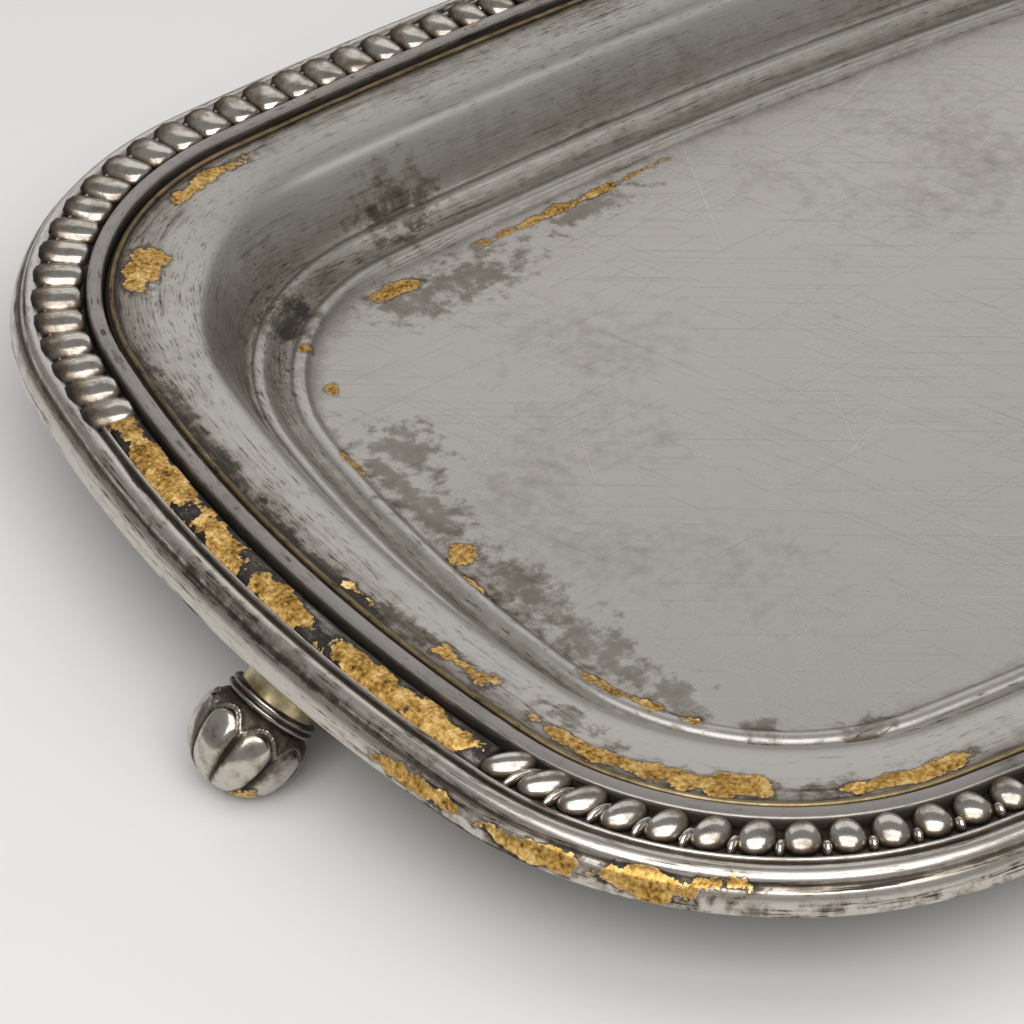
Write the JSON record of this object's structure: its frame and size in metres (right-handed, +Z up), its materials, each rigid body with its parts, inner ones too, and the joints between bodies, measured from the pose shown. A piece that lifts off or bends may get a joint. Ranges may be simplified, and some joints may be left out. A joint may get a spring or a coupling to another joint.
{
  "type": "vanity tray",
  "caption": "Rounded rectangular footed tray with a stepped well, a beaded rim with plain end panels, and splayed lobed bud feet.",
  "frame": {"origin": "under the middle of the tray, on the surface that the feet stand on", "axes": "+X along the length towards the right end, +Y across the width towards the back, +Z up out of the well"},
  "size_m": [0.2588, 0.1832, 0.0223],
  "materials": {
    "plated_sheet": "tarnished silver plate, satin, finely scratched",
    "plated_moulding": "worn silver plate with traces of gilding",
    "iron_wire": "drawn iron wire, dull",
    "plated_wire": "silver plate, grey and worn",
    "gilt_wire": "rubbed gilding over plate",
    "beaded_strip": "polished silver plate, brown patina in the recesses",
    "gilt_panel": "gold leaf remnants over blackened plate",
    "foot_casting": "cast brass, silver plated, darkened between the lobes",
    "foot_collar": "cast brass, plated, blackened",
    "foot_bracket": "cast brass, thinly plated, golden brown",
    "brass_stud": "turned brass, bare"
  },
  "bodies": {
    "root": {"tray_body": "plated_sheet", "rim_moulding": "plated_moulding", "rim_wire": "iron_wire", "ridge_wire": "plated_wire", "fillet_wire": "gilt_wire", "bead_strip_back": "beaded_strip", "bead_strip_front": "beaded_strip", "end_panel_left": "gilt_panel", "end_panel_right": "gilt_panel", "foot_bud_left": "foot_casting", "foot_bud_right": "foot_casting", "foot_bud_front": "foot_casting", "foot_bud_back": "foot_casting", "foot_collar_left": "foot_collar", "foot_collar_right": "foot_collar", "foot_collar_front": "foot_collar", "foot_collar_back": "foot_collar", "foot_bracket_left": "foot_bracket", "foot_bracket_right": "foot_bracket", "foot_bracket_front": "foot_bracket", "foot_bracket_back": "foot_bracket", "foot_stud_left": "brass_stud", "foot_stud_right": "brass_stud", "foot_stud_front": "brass_stud", "foot_stud_back": "brass_stud"}
  },
  "joints": []
}
